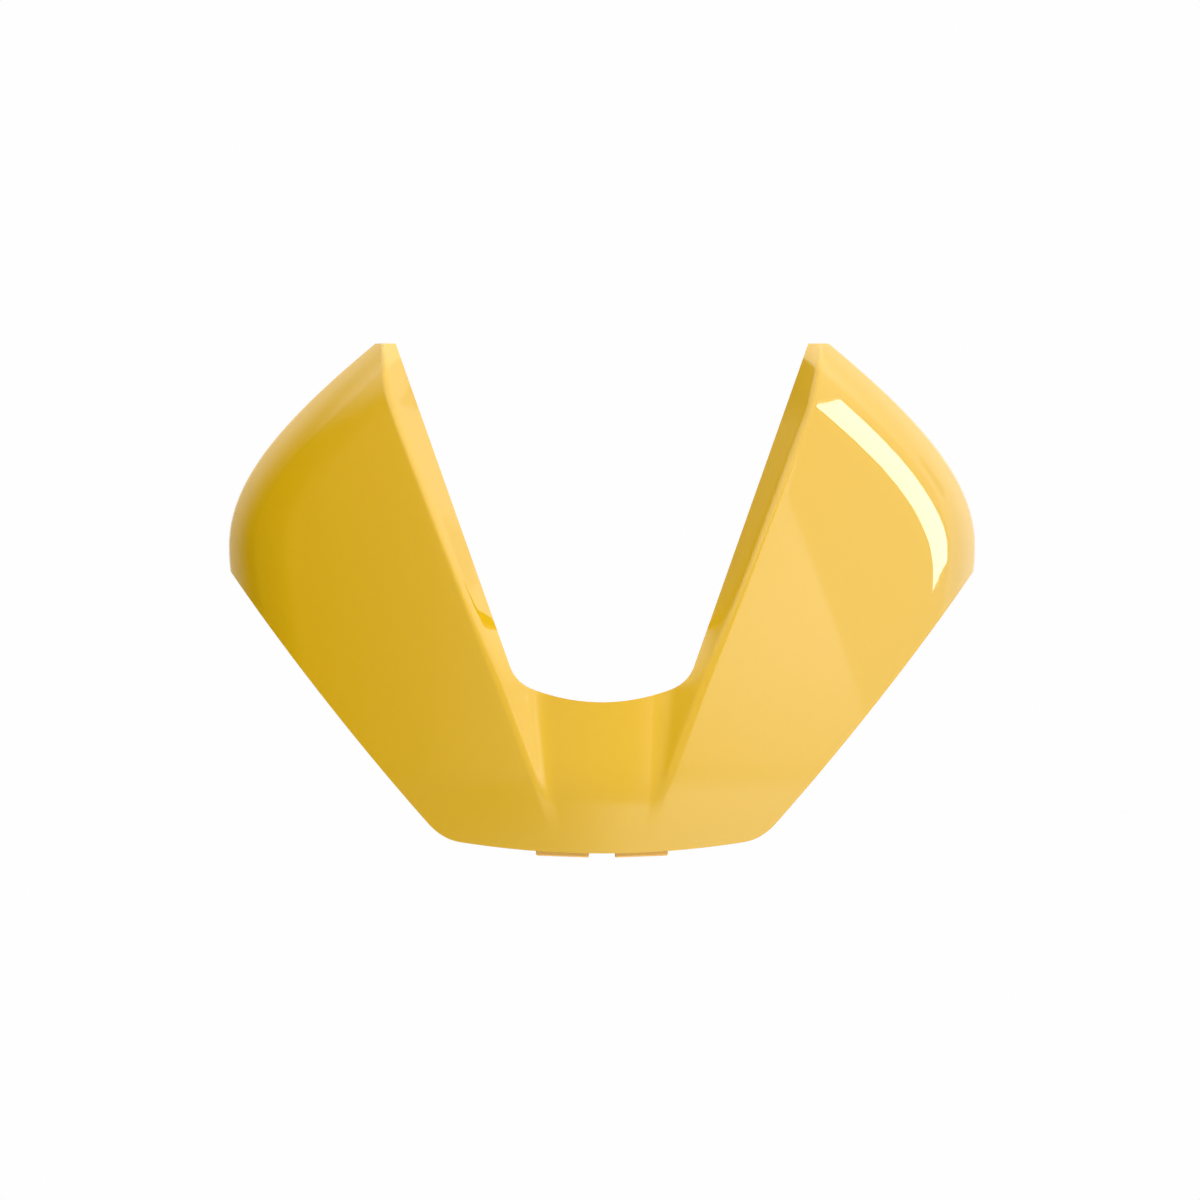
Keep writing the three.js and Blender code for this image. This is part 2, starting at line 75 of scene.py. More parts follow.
def direction(azimuth, elevation):
    """Unit vector to a place in the studio: azimuth 0 in front, 90 on the right."""
    a, e = math.radians(azimuth), math.radians(elevation)
    return Vector((math.sin(a) * math.cos(e), -math.cos(a) * math.cos(e), math.sin(e)))


class Value:
    """A number that varies over a finish or around the room; sums and products add Math nodes."""

    def __init__(self, nodes, socket):
        self.nodes = nodes
        self.socket = socket

    def math(self, operation, *others):
        node = self.nodes.add("ShaderNodeMath", {"operation": operation})
        for socket, value in zip(node.inputs, (self, *others)):
            self.nodes.feed(socket, value)
        return Value(self.nodes, node.outputs[0])

    def __add__(self, other):
        return self.math("ADD", other)

    def __sub__(self, other):
        return self.math("SUBTRACT", other)

    def __mul__(self, other):
        return self.math("MULTIPLY", other)

    __radd__ = __add__
    __rmul__ = __mul__

    def __rsub__(self, other):
        return (self * -1).math("ADD", other)

    def clamped(self, least, most):
        return self.math("MAXIMUM", least).math("MINIMUM", most)


class Nodes:
    """A node tree. A node is added by its type, its settings, and the values or links of its sockets."""

    def __init__(self, tree):
        self.tree = tree

    def add(self, kind, settings, **values):
        node = self.tree.nodes.new(kind)
        for name, value in settings.items():
            setattr(node, name, value)
        for socket, value in values.items():
            self.feed(node.inputs[socket.replace("_", " ")], value)
        return node

    def feed(self, socket, value):
        if isinstance(value, Value):
            value = value.socket
        if isinstance(value, bpy.types.NodeSocket):
            self.tree.links.new(value, socket)
        else:
            socket.default_value = value


class Finish(Nodes):
    """One material: a Principled surface and the nodes that vary it."""

    def __init__(self, name, **constants):
        self.material = bpy.data.materials.new(name)
        self.material.use_nodes = True
        super().__init__(self.material.node_tree)
        self.surface = self.tree.nodes["Principled BSDF"]
        for socket, value in constants.items():
            self.surface.inputs[socket.replace("_", " ")].default_value = value
        self.place = self.add("ShaderNodeTexCoord", {}).outputs["Object"]

    def noise(self, scale, detail=2.0, stretch=(1, 1, 1)):
        mapping = self.add("ShaderNodeMapping", {}, Vector=self.place, Scale=stretch)
        node = self.add("ShaderNodeTexNoise", {}, Vector=mapping.outputs[0], Scale=scale, Detail=detail)
        return Value(self, node.outputs["Fac"])

    def blend(self, factor, first, second):
        node = self.add("ShaderNodeMix", {"data_type": "RGBA"})
        self.feed(node.inputs["Factor"], factor)
        self.feed(node.inputs[6], first)
        self.feed(node.inputs[7], second)
        return node.outputs[2]

    def use(self, socket, value):
        self.feed(self.surface.inputs[socket], value)

    def relief(self, height, distance, strength=1.0):
        bump = self.add("ShaderNodeBump", {}, Height=height, Distance=distance, Strength=strength)
        self.feed(self.surface.inputs["Normal"], bump.outputs["Normal"])


def panel(name, corners, brightness, distance=1.5):
    """A glowing panel that only shows in the gloss; its corners are lower pair, then upper pair."""
    bpy.ops.object.select_all(action="DESELECT")
    bpy.ops.mesh.primitive_plane_add()
    lamp = bpy.context.object
    lamp.name = name
    for vertex, facing in zip(lamp.data.vertices, corners):
        vertex.co = PART_CENTRE + direction(*facing) * distance
    glow = Finish(name, Base_Color=(0, 0, 0, 1), Specular_IOR_Level=0, Emission_Strength=brightness)
    glow.use("Emission Color", glow.blend(glow.noise(12), (0.97, 0.97, 0.97, 1), (1, 1, 1, 1)))
    lamp.data.materials.append(glow.material)
    lamp.visible_camera = False
    lamp.visible_diffuse = False
    lamp.visible_shadow = False


def fill(name, facing, level, softness):
    """A soft distant light that only fills, and leaves no mirror image."""
    light = bpy.data.lights.new(name, "SUN")
    light.energy = level * math.pi
    light.angle = math.radians(softness)
    lamp = bpy.data.objects.new(name, light)
    lamp.rotation_euler = direction(*facing).to_track_quat("Z", "Y").to_euler()
    lamp.visible_camera = False
    lamp.visible_glossy = False
    bpy.context.collection.objects.link(lamp)


panel("strip", ((77, 8.5), (88, 8.5), (55.5, 31.5), (76, 38)), 12)
panel("tip_window", ((118, 21), (126, 21), (118, 29), (126, 29)), 1.4)
fill("key_fill", (50, 0), 0.77, 25)
fill("left_fill", (-62, 2), 0.42, 50)
fill("ceiling_fill", (0, 80), 0.8, 60)
fill("low_fill", (0, -75), 0.5, 60)
fill("rear_fill", (170, 30), 0.57, 60)


ROOM_WHITE = 0.991
ROOM_GLOSS = 0.8
RIGHT_GAIN, RIGHT_LOSS_BEHIND = 1.4, 0.45
LEFT_LOSS = 0.8
REAR_GAIN = 0.5
WINDOW_GAIN = 0.85
WINDOW_PLANE = (0.583, 0.77, 0.258)
CEILING_GAIN, CEILING_TILT = 2.2, 0.45
GROUND_GAIN, GROUND_TILT, GROUND_LEAST = 1.4, 1.8, 0.4


class Surround(Nodes):
    """White to the eye. Mirrored in the gloss it is bright above and on the right, dark on the left."""

    def __init__(self):
        world = bpy.data.worlds.new("surround")
        bpy.context.scene.world = world
        world.use_nodes = True
        world.cycles_visibility.diffuse = False
        super().__init__(world.node_tree)
        self.tree.nodes.clear()
        ray = self.add("ShaderNodeLightPath", {})
        choice = self.add("ShaderNodeMixShader", {}, Fac=ray.outputs["Is Camera Ray"])
        self.feed(choice.inputs[1], self.backdrop(self.mirrored_level()))
        self.feed(choice.inputs[2], self.backdrop(ROOM_WHITE))
        self.add("ShaderNodeOutputWorld", {}, Surface=choice.outputs["Shader"])

    def backdrop(self, strength):
        node = self.add("ShaderNodeBackground", {}, Color=(1, 1, 1, 1), Strength=strength)
        return node.outputs["Background"]

    def rise(self, value, start, end, height=1):
        node = self.add("ShaderNodeMapRange", {"interpolation_type": "SMOOTHSTEP"}, Value=value,
                        From_Min=start, From_Max=end, To_Max=height)
        return Value(self, node.outputs["Result"])

    def mirrored_level(self):
        way = self.add("ShaderNodeTexCoord", {})
        parts = self.add("ShaderNodeSeparateXYZ", {}, Vector=way.outputs["Generated"])
        x, y, z = (Value(self, part) for part in parts.outputs)
        right = self.rise(x, 0.2, 0.8, RIGHT_GAIN) * (1 - self.rise(y, 0.2, 0.7, RIGHT_LOSS_BEHIND))
        left = self.rise(x, -0.45, -0.9, LEFT_LOSS)
        behind = self.rise(y, 0.45, 0.9, REAR_GAIN)
        walls = (right + ROOM_GLOSS + behind - left).math("MAXIMUM", 0) + self.window(x, y, z)
        ceiling = x * CEILING_TILT + CEILING_GAIN
        level = walls + self.rise(z, 0.55, 0.7) * (ceiling - walls)
        ground = (x * GROUND_TILT + GROUND_GAIN).math("MAXIMUM", GROUND_LEAST)
        return level + self.rise(z, -0.1, -0.45) * (ground - level)

    def window(self, x, y, z):
        """A window on the right, with one sharp slanted edge and soft ones elsewhere."""
        across, back, up = WINDOW_PLANE
        beside = x * across + y * back + z * up
        pane = self.rise(beside, 0.004, -0.004) * self.rise(x, 0.3, 0.5, WINDOW_GAIN)
        return pane * self.rise(z, -0.05, 0.25)


Surround()


# Cover: one gloss yellow moulding, the whole visible V. Two wings sweep and lean back from a trough
# below the notch, the outer rim rolls over into a short skirt, and the lower sides are cut sharp.
# It is injection moulded, with a 1.8 mm wall and six screw bosses behind.

MM = 0.001

# The outline from the front, right half, in millimetres right of the middle and above the lower edge.
TIP = (45.6, 102.2)
RIM_HANDLE = (64.5, 86.7)
RIM_FALL = (75.15, 74.6)
SHOULDER = (75.15, 61.6)
SHOULDER_SHARE = 0.9
SHOULDER_RADIUS = 40
CORNER_Z = 56.4
BELOW_CORNER_SLANT = 0.13
TRIM_BELLY = (1.3, 1.1)
TRIM_END = (35.0, 6.2)
TRIM_HANDLE = (32.06, 2.77)
FOOT = (28.4, 2.2)
NOTCH_TIP = (41.5, 102.2)
NOTCH_AT_CORNER_Z = 62.7
NOTCH_HEEL = (18.4, 37.4)
NOTCH_HANDLE = (17.17, 33.95)
NOTCH_FLOOR = (13.4, 32.6)
NOTCH_MIDDLE_Z = 30.2
FLOOR_AT_TRIM_X = 12.2
FLOOR_AT_FOOT_X = 11.4

# The ridge beside the notch: a straight line that curls in near the tip, and its path below the notch.
RIDGE_BASE_X, RIDGE_SLANT = 7.54, 0.3834
RIDGE_CURL_Z, RIDGE_CURL = 85.2, 0.0089
RIDGE_SOFTNESS, TIP_SOFTNESS = 1.2, 0.4
SHARPENS_Z, SHARPENS_LENGTH = 92, 10
RIDGE_AT_CORNER_Z = 61
RIDGE_END_Z = 13
RIDGE_FOOT = (11.3, 10)
RIDGE_MIDDLE_Z = 8.6

# Depth of the face: sweep to the sides, lean to the top, roll under at the foot, and the trough.
SWEEP, SWEEP_START, SWEEP_CURVE = 0.27, 12, 0.002
LEAN_Z, LEAN_RADIUS = 12, 260
UNDER_ROLL_Z, UNDER_ROLL_RADIUS = 18, 26
TROUGH_SLANT, TROUGH_NARROWING, TROUGH_START = 0.3034, 2.41, 1.8
TROUGH_SLOPE, NOTCH_SLOPE = 0.76, 1.9
STEEPENS_Z, STEEPENS_LENGTH = 32, 26

# The wall, the turn towards the rim, the rim band and the skirt behind it.
WALL, TIP_WALL = 1.8, 0.6
THINS_Z, THINS_LENGTH = 90, 12
TURN_START = 12.5
TURN_LENGTH = 7
TURN_SLOPE = 0.36
RIM_EDGE = 5.4
RIM_EDGE_SLOPE = 0.4
RIM_EDGE_SOFTNESS = 0.3
RIM_CURVE = 0.12
RIM_LINE_STEPS = 90
SKIRT_DRAFT = 0.03

# From the cover's own millimetres to the assembly, whose origin is the middle of the lower seat.
SEAT = Vector((0, -22.2, -18))
RIM_BACK_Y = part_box("cover")[1][1] / MM - SEAT.y


def mix(a, b, t):
    return a + (b - a) * t


def between(p, q, t):
    return tuple(mix(a, b, t) for a, b in zip(p, q))


def bend(p, middle, q, t):
    return between(between(p, middle, t), between(middle, q, t), t)


def ease(t):
    s = min(1, max(0, t))
    return s * s * (3 - 2 * s)


def shoulder_x(z):
    below = SHOULDER[1] - max(z, CORNER_Z)
    return SHOULDER[0] - below**2 / (2 * SHOULDER_RADIUS) - BELOW_CORNER_SLANT * max(0, CORNER_Z - z)


def rim_point(s):
    """The outer rim from the tip (0) to the corner (1)."""
    if s > SHOULDER_SHARE:
        z = mix(SHOULDER[1], CORNER_Z, (s - SHOULDER_SHARE) / (1 - SHOULDER_SHARE))
        return shoulder_x(z), z
    t = s / SHOULDER_SHARE
    return between(bend(TIP, RIM_HANDLE, RIM_FALL, t), bend(RIM_HANDLE, RIM_FALL, SHOULDER, t), t)


def floor_z(x):
    return NOTCH_MIDDLE_Z + (NOTCH_FLOOR[1] - NOTCH_MIDDLE_Z) * (x / NOTCH_FLOOR[0]) ** 2


def ridge_x(z):
    return RIDGE_BASE_X + RIDGE_SLANT * z - RIDGE_CURL * max(0, z - RIDGE_CURL_Z) ** 2


def notch_edge(z):
    return between(NOTCH_HEEL, NOTCH_TIP, (z - NOTCH_HEEL[1]) / (NOTCH_TIP[1] - NOTCH_HEEL[1]))


def smooth_ramp(a, k):
    """Zero below zero and a itself above it, joined by a curve k wide on each side."""
    if a > k:
        return a
    return 0 if a < -k else (a + k) ** 2 / (4 * k)


def ridge_softness(z):
    return mix(RIDGE_SOFTNESS, TIP_SOFTNESS, ease((z - SHARPENS_Z) / SHARPENS_LENGTH))


def face_y(x, z):
    sweep = SWEEP * (math.hypot(x, SWEEP_START) - SWEEP_START) + SWEEP_CURVE * x * x
    lean = max(0, z - LEAN_Z) ** 2 / (2 * LEAN_RADIUS)
    under_roll = max(0, UNDER_ROLL_Z - z) ** 2 / (2 * UNDER_ROLL_RADIUS)
    trough_width = smooth_ramp(TROUGH_SLANT * z - TROUGH_NARROWING, TROUGH_START)
    slope = mix(TROUGH_SLOPE, NOTCH_SLOPE, ease((z - STEEPENS_Z) / STEEPENS_LENGTH))
    k = ridge_softness(z)
    inside = ridge_x(z) - abs(x)
    floor_softness = k + min(1, trough_width / 6)
    trough = smooth_ramp(inside, k) - smooth_ramp(inside - trough_width, floor_softness)
    return sweep + lean + under_roll + slope * trough


def rim_line():
    """The outer rim of the right wing as a chain of points, carried on past the tip and the corner."""
    lift = 10 * (TIP[1] - RIM_HANDLE[1]) / (RIM_HANDLE[0] - TIP[0])
    chain = [rim_point(k / RIM_LINE_STEPS) for k in range(RIM_LINE_STEPS + 1)]
    return np.array([(TIP[0] - 10, TIP[1] + lift), *chain, (shoulder_x(0), 0)])


RIM_LINE = rim_line()


def rim_inset(x, z):
    """Distance in from the outer rim."""
    along = np.diff(RIM_LINE, axis=0)
    start = np.array((x, z)) - RIM_LINE[:-1]
    share = np.clip((start * along).sum(1) / (along * along).sum(1), 0, 1)
    return np.linalg.norm(start - along * share[:, None], axis=1).min()


def roll_depth(inset):
    """The face turns away towards the rim, then a soft edge leads on to the curved rim band."""
    turned = max(0, TURN_START - inset)
    past = max(0, turned - TURN_LENGTH)
    turn = TURN_SLOPE / (2 * TURN_LENGTH) * (turned**2 - past**2)
    band = max(0, RIM_EDGE - inset)
    edge = RIM_EDGE_SLOPE * smooth_ramp(RIM_EDGE - inset, RIM_EDGE_SOFTNESS)
    return turn + edge + RIM_CURVE * band**2


def surface_y(x, z):
    return face_y(x, z) + roll_depth(rim_inset(x, z))


def station(t):
    """Notch edge, ridge and outer edge, from a wing tip (0) past the corner (1) to the middle (4)."""
    corner = rim_point(1)
    if t <= 1:
        ridge_z = mix(TIP[1], RIDGE_AT_CORNER_Z, t)
        return notch_edge(mix(TIP[1], NOTCH_AT_CORNER_Z, t)), (ridge_x(ridge_z), ridge_z), rim_point(t)
    if t <= 2:
        s = t - 1
        ridge_z = mix(RIDGE_AT_CORNER_Z, RIDGE_END_Z, s)
        halfway = between(corner, TRIM_END, 0.5)
        belly = (halfway[0] + TRIM_BELLY[0], halfway[1] - TRIM_BELLY[1])
        if s <= 0.5:
            notch = notch_edge(mix(NOTCH_AT_CORNER_Z, NOTCH_HEEL[1], s / 0.5))
        elif s <= 0.85:
            notch = bend(NOTCH_HEEL, NOTCH_HANDLE, NOTCH_FLOOR, (s - 0.5) / 0.35)
        else:
            x = mix(NOTCH_FLOOR[0], FLOOR_AT_TRIM_X, (s - 0.85) / 0.15)
            notch = (x, floor_z(x))
        return notch, (ridge_x(ridge_z), ridge_z), bend(corner, belly, TRIM_END, s)
    if t <= 3:
        s = t - 2
        x = mix(FLOOR_AT_TRIM_X, FLOOR_AT_FOOT_X, s)
        ridge = between((ridge_x(RIDGE_END_Z), RIDGE_END_Z), RIDGE_FOOT, s)
        return (x, floor_z(x)), ridge, bend(TRIM_END, TRIM_HANDLE, FOOT, s)
    s = t - 3
    x, foot_x = mix(FLOOR_AT_FOOT_X, 0, s), mix(FOOT[0], 0, s)
    ridge = between(RIDGE_FOOT, (0, RIDGE_MIDDLE_Z), s)
    return (x, floor_z(x)), ridge, (foot_x, FOOT[1] * (foot_x / FOOT[0]) ** 2)


RIDGE_MOST_SHARE = 0.3
ROLL_REACH, TIP_ROLL_GAIN = 13.2, 1.3
WING_ROLL_SHARE, TRIM_ROLL_SHARE = 0.85, 0.5
NOTCH_ROWS, RIDGE_ROWS, FACE_ROWS, ROLL_ROWS, SKIRT_ROWS = 12, 8, 26, 44, 4
EDGE_ROW = NOTCH_ROWS + RIDGE_ROWS + FACE_ROWS + ROLL_ROWS


def section(t):
    """The points of one station in millimetres, from the notch edge out over the rim."""
    notch, ridge, outer = station(t)
    run = math.dist(ridge, outer)
    away = tuple((b - a) / run for a, b in zip(ridge, outer))
    soft = min(ridge_softness(ridge[1]), RIDGE_MOST_SHARE * run)
    turned = math.pi / 2 * max(0, t - 3)
    inner = (ridge[0] - soft * math.cos(turned), ridge[1] + soft * math.sin(turned))
    shoulder = (ridge[0] + away[0] * soft, ridge[1] + away[1] * soft)
    share = WING_ROLL_SHARE if t < 1 else TRIM_ROLL_SHARE
    roll = min(ROLL_REACH * mix(TIP_ROLL_GAIN, 1, min(1, t)), share * (run - soft))
    roll_start = (outer[0] - away[0] * roll, outer[1] - away[1] * roll)
    flat = [between(notch, inner, j / NOTCH_ROWS) for j in range(NOTCH_ROWS)]
    flat += [between(inner, ridge, j / (RIDGE_ROWS / 2)) for j in range(RIDGE_ROWS // 2)]
    flat += [between(ridge, shoulder, j / (RIDGE_ROWS / 2)) for j in range(RIDGE_ROWS // 2)]
    flat += [between(shoulder, roll_start, j / FACE_ROWS) for j in range(FACE_ROWS)]
    flat += [between(roll_start, outer, j / ROLL_ROWS) for j in range(ROLL_ROWS + 1)]
    points = [(x, surface_y(x, z), z) for x, z in flat]
    x, y, z = points[EDGE_ROW]
    for j in range(1, SKIRT_ROWS + 1):
        draft = SKIRT_DRAFT * (RIM_BACK_Y - y) * j / SKIRT_ROWS
        drop = draft * min(1, t / 0.05)
        points.append((x - away[0] * draft, mix(y, RIM_BACK_Y, j / SKIRT_ROWS), z - away[1] * drop))
    return points


def moulded_sheet(name, stations):
    """A grid laid over the cover's face: stations run from the right tip round to the left one."""
    columns = len(stations) * 2 - 2
    rows = EDGE_ROW + SKIRT_ROWS
    bpy.ops.object.select_all(action="DESELECT")
    bpy.ops.mesh.primitive_grid_add(x_subdivisions=columns, y_subdivisions=rows, size=2)
    sheet = bpy.context.object
    sheet.name = name
    right = np.array([section(t) for t in stations])
    left = right[-2::-1] * (-1, 1, 1)
    points = (np.concatenate([right, left]) + SEAT) * MM
    flat = np.array([v.co for v in sheet.data.vertices])
    i = np.rint((flat[:, 0] + 1) / 2 * columns).astype(int)
    j = np.rint((flat[:, 1] + 1) / 2 * rows).astype(int)
    sheet.data.vertices.foreach_set("co", points[i, j].ravel())
    corner = stations.index(1.0)
    bottom = range(corner, columns - corner)
    bpy.ops.object.mode_set(mode="EDIT")
    bpy.ops.mesh.select_mode(type="FACE")
    bpy.ops.mesh.select_all(action="DESELECT")
    bpy.ops.object.mode_set(mode="OBJECT")
    for face in sheet.data.polygons:
        corners = list(face.vertices)
        face.select = bool(j[corners].min() >= EDGE_ROW and i[corners].min() in bottom)
    bpy.ops.object.mode_set(mode="EDIT")
    bpy.ops.mesh.delete(type="FACE")
    bpy.ops.object.mode_set(mode="OBJECT")
    sheet.data.update()
    return sheet


def finish_mesh(piece, angle=35):
    """Applies a piece's modifiers and smooths all but its real edges."""
    bpy.ops.object.select_all(action="DESELECT")
    piece.select_set(True)
    bpy.context.view_layer.objects.active = piece
    for modifier in list(piece.modifiers):
        bpy.ops.object.modifier_apply(modifier=modifier.name)
    bpy.ops.object.shade_smooth_by_angle(angle=math.radians(angle))


END_WALL = 1.5
END_SINK = 0.1
END_GAP = 0.3


def tip_end(side):
    """The closed top of a wing tip, a flat plate set just below the skin's own edge and inside it."""
    bpy.ops.object.select_all(action="DESELECT")
    bpy.ops.mesh.primitive_circle_add(vertices=len(section(0)), fill_type="NGON")
    end = bpy.context.object
    for vertex, (x, y, _) in zip(end.data.vertices, section(0)):
        vertex.co = (Vector((side * x, y, TIP[1] - END_SINK - END_WALL)) + SEAT) * MM
    bpy.ops.object.mode_set(mode="EDIT")
    bpy.ops.mesh.select_all(action="SELECT")
    bpy.ops.mesh.inset(thickness=END_GAP * MM)
    bpy.ops.mesh.select_all(action="INVERT")
    bpy.ops.mesh.delete(type="FACE")
    bpy.ops.mesh.select_all(action="SELECT")
    bpy.ops.mesh.extrude_region_move(TRANSFORM_OT_translate={"value": (0, 0, END_WALL * MM)})
    bpy.ops.mesh.select_all(action="SELECT")
    bpy.ops.mesh.normals_make_consistent(inside=False)
    bpy.ops.object.mode_set(mode="OBJECT")
    return end


def join(pieces, name):
    """Makes the pieces one object, the first of them, under a new name."""
    bpy.ops.object.select_all(action="DESELECT")
    for piece in pieces:
        piece.select_set(True)
    bpy.context.view_layer.objects.active = pieces[0]
    bpy.ops.object.join()
    pieces[0].name = name
    return pieces[0]


def spread(start, end, cells):
    return [mix(start, end, k / cells) for k in range(cells)]


def cover_stations():
    """Stations from the tip to the middle, closer together on both sides of the corner."""
    near_corner = [1.0 - 0.04 * (1 - k / 8) ** 2 for k in range(8)]
    return [*spread(0, 0.96, 84), *near_corner, *spread(1.0, 1.06, 8), *spread(1.06, 2, 80),
            *spread(2, 3, 14), *spread(3, 4, 36), 4.0]


def make_cover():
    skin = moulded_sheet("cover_skin", cover_stations())
    depth = skin.vertex_groups.new(name="wall")
    for vertex in skin.data.vertices:
        z = vertex.co.z / MM - SEAT.z
        depth.add([vertex.index], mix(1, TIP_WALL / WALL, ease((z - THINS_Z) / THINS_LENGTH)), "REPLACE")
    wall = skin.modifiers.new("wall", "SOLIDIFY")
    wall.thickness = WALL * MM
    wall.offset = -1
    wall.vertex_group = "wall"
    finish_mesh(skin)
    whole = join([skin, tip_end(1), tip_end(-1)], "cover_skin")
    edge = whole.modifiers.new("edge", "BEVEL")
    edge.width = 0.22 * MM
    edge.segments = 2
    edge.limit_method = "ANGLE"
    edge.angle_limit = math.radians(50)
    finish_mesh(whole)
    return whole


def gloss_yellow():
    """Deep yellow moulded gloss: faint flow streaks in the colour, fine orange peel, hairline scuffs."""
    gloss = Finish("gloss_yellow", IOR=1.6)
    flow = gloss.noise(9, 3, (1, 1, 0.4))
    gloss.use("Base Color", gloss.blend(flow, (0.775, 0.457, 0.006, 1), (0.795, 0.473, 0.0085, 1)))
    scuff = gloss.noise(420, 4, (1, 0.25, 1))
    gloss.use("Roughness", (scuff * 0.05 + 0.012).clamped(0.015, 0.07))
    peel = gloss.noise(700, 1)
    gloss.relief(peel, 0.0000012)
    return gloss.material


def turned(name, ring_sizes, sides=32):
    """A turned solid along y: rings of (radius, y) in millimetres, each drawn out of the last one."""
    bpy.ops.object.select_all(action="DESELECT")
    radius, depth = ring_sizes[0]
    bpy.ops.mesh.primitive_circle_add(vertices=sides, radius=radius * MM, fill_type="TRIFAN",
                                      location=(0, depth * MM, 0), rotation=(math.radians(-90), 0, 0))
    piece = bpy.context.object
    piece.name = name
    bpy.ops.object.transform_apply(location=True, rotation=True)
    bpy.ops.object.mode_set(mode="EDIT")
    bpy.ops.mesh.select_all(action="SELECT")
    for size, place in ring_sizes[1:]:
        bpy.ops.mesh.extrude_region_move(TRANSFORM_OT_translate={"value": (0, (place - depth) * MM, 0)})
        share = size / radius
        bpy.ops.transform.resize(value=(share, 1, share))
        radius, depth = size, place
    bpy.ops.mesh.select_all(action="SELECT")
    bpy.ops.mesh.normals_make_consistent(inside=False)
    bpy.ops.object.mode_set(mode="OBJECT")
    return piece


def place_mesh(piece, x, y, z):
    """Puts a piece's own mesh at a place given in millimetres from the cover's lower edge."""
    piece.data.transform(Matrix.Translation((Vector((x, y, z)) + SEAT) * MM))


BOSSES = ((52, 80, 10), (46, 48, 10), (30, 15, 9))
BOSS_RADIUS, BOSS_CHAMFER = 2.8, 0.3
BORE_RADIUS, BORE_CHAMFER, BORE_DEPTH = 1.4, 0.2, 6.5
BOSS_FOOT_SINK = 1.1


def boss(x, z, length):
    """A tube moulded on the skin's back, its foot inside the wall and its mouth chamfered."""
    end = face_y(x, z) + length
    outside = ((BOSS_RADIUS, 0), (BOSS_RADIUS, end - BOSS_CHAMFER), (BOSS_RADIUS - BOSS_CHAMFER, end))
    mouth = ((BORE_RADIUS + BORE_CHAMFER, end), (BORE_RADIUS, end - BORE_CHAMFER))
    tube = turned("boss", (*outside, *mouth, (BORE_RADIUS, end - BORE_DEPTH)), 48)
    place_mesh(tube, x, 0, z)
    for vertex in tube.data.vertices:
        place = vertex.co / MM - SEAT
        if place.y < 0.01:
            vertex.co.y = (surface_y(abs(place.x), place.z) + BOSS_FOOT_SINK + SEAT.y) * MM
    finish_mesh(tube)
    return tube


def fit(piece, body, node, material):
    """Gives a finished piece its material and its place in the assembly."""
    piece.data.materials.clear()
    piece.data.materials.append(material)
    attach(piece, body)
    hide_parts(node)


cover_bosses = [boss(side * x, z, length) for x, z, length in BOSSES for side in (-1, 1)]
cover_skin = join([make_cover(), *cover_bosses], "cover_skin")
fit(cover_skin, "body", "cover", gloss_yellow())

# Carrier: the inner frame that stiffens the cover. Satin dark grey plastic, one moulding with a turret
# round each boss, channels for the catches, a seat behind each wing and a fixed hook near each tip.


def moulding(node, edge, segments=2):
    """A clean copy of a plain part, its facets merged and its edges rounded by the given millimetres."""
    piece = bpy.data.objects.new(node + "_moulding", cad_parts[node].data.copy())
    bpy.context.collection.objects.link(piece)
    piece.data.materials.clear()
    bpy.ops.object.select_all(action="DESELECT")
    piece.select_set(True)
    bpy.context.view_layer.objects.active = piece
    bpy.ops.object.mode_set(mode="EDIT")
    bpy.ops.mesh.select_all(action="SELECT")
    bpy.ops.mesh.remove_doubles(threshold=0.001 * MM)
    bpy.ops.mesh.dissolve_limited(angle_limit=math.radians(1))
    bpy.ops.object.mode_set(mode="OBJECT")
    rounding = piece.modifiers.new("rounding", "BEVEL")
    rounding.width = edge * MM
    rounding.segments = segments
    rounding.limit_method = "ANGLE"
    rounding.angle_limit = math.radians(40)
    rounding.use_clamp_overlap = False
    finish_mesh(piece, 40)
    flatness = piece.modifiers.new("flatness", "WEIGHTED_NORMAL")
    flatness.keep_sharp = True
    bpy.ops.object.modifier_apply(modifier=flatness.name)
    return piece


def satin_black():
    """Dark grey moulded plastic with a fine spark-eroded grain and slightly paler flow marks."""
    satin = Finish("satin_black")
    flow = satin.noise(35, 3, (1, 1, 0.3))
    satin.use("Base Color", satin.blend(flow, (0.038, 0.04, 0.043, 1), (0.052, 0.054, 0.058, 1)))
    grain = satin.noise(2600, 3)
    satin.use("Roughness", (grain * 0.2 + 0.4).clamped(0.4, 0.62))
    satin.relief(grain, 0.00002, 0.4)
    return satin.material


fit(moulding("carrier", 0.15), "body", "carrier", satin_black())

# Catches: two sprung sliders of paler, duller yellow plastic. Each is moulded in one piece with the tab
# that shows below the cover and the hooked tongue that takes hold behind the host panel.


def pale_yellow():
    """Unpainted pale yellow nylon: cloudy colour, satin surface and fine drag marks along the slide."""
    nylon = Finish("pale_yellow", Subsurface_Weight=0.08, Subsurface_Scale=0.001)
    cloud = nylon.noise(160, 3)
    nylon.use("Base Color", nylon.blend(cloud, (0.9, 0.51, 0.11, 1), (0.95, 0.57, 0.14, 1)))
    drag = nylon.noise(1400, 3, (1, 1, 0.12))
    nylon.use("Roughness", (drag * 0.22 + 0.32).clamped(0.34, 0.54))
    nylon.relief(drag, 0.00001, 0.3)
    return nylon.material


catch_finish = pale_yellow()
for side in ("left", "right"):
    name = side + "_catch"
    fit(moulding(name, 0.3, 3), name, name, catch_finish)

# Catch springs: cold-coiled steel wire, eight turns with a closed flat coil at each end. Each stands in
# its catch's bore and is pressed against the carrier's top wall.

WIRE_RADIUS, WIRE_SIDES = 0.25, 12
COIL_RADIUS, COIL_SIDES = 1.6, 36
COIL_TURNS = 8


